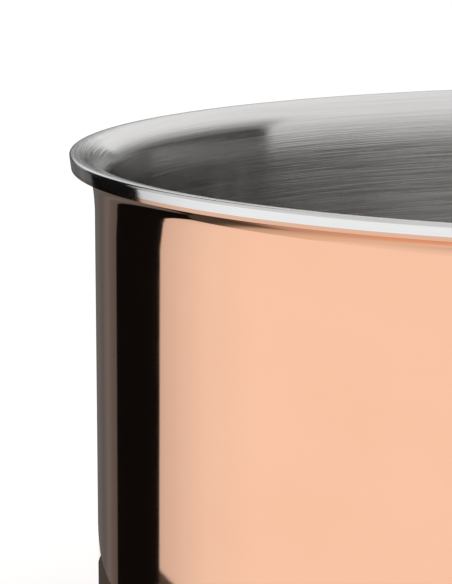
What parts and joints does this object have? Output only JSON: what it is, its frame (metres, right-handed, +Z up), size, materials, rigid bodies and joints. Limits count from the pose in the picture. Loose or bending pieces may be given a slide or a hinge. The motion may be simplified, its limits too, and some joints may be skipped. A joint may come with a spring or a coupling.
{
  "type": "jam pan",
  "caption": "Round straight-walled jam pan of bonded copper, aluminium and stainless sheet, with a flared lip that shows the layers and riveted cast loop handles at its sides.",
  "frame": {"origin": "centre of the pan's base, on the surface that it stands on", "axes": "+Z up along the bowl's axis, +X towards the right handle"},
  "size_m": [0.3758, 0.2812, 0.125],
  "materials": {
    "copper": "mirror polished copper",
    "core": "machined cut edge",
    "lining": "fine circular brushing",
    "handle": "satin cast stainless steel",
    "rivet": "satin stainless steel"
  },
  "bodies": {
    "root": {"copper_outer_shell": "copper", "aluminium_core": "core", "stainless_lining": "lining", "right_handle": "handle", "right_handle_rivet_1": "rivet", "right_handle_rivet_2": "rivet", "right_handle_rivet_3": "rivet", "right_handle_rivet_4": "rivet", "left_handle": "handle", "left_handle_rivet_1": "rivet", "left_handle_rivet_2": "rivet", "left_handle_rivet_3": "rivet", "left_handle_rivet_4": "rivet"}
  },
  "joints": []
}
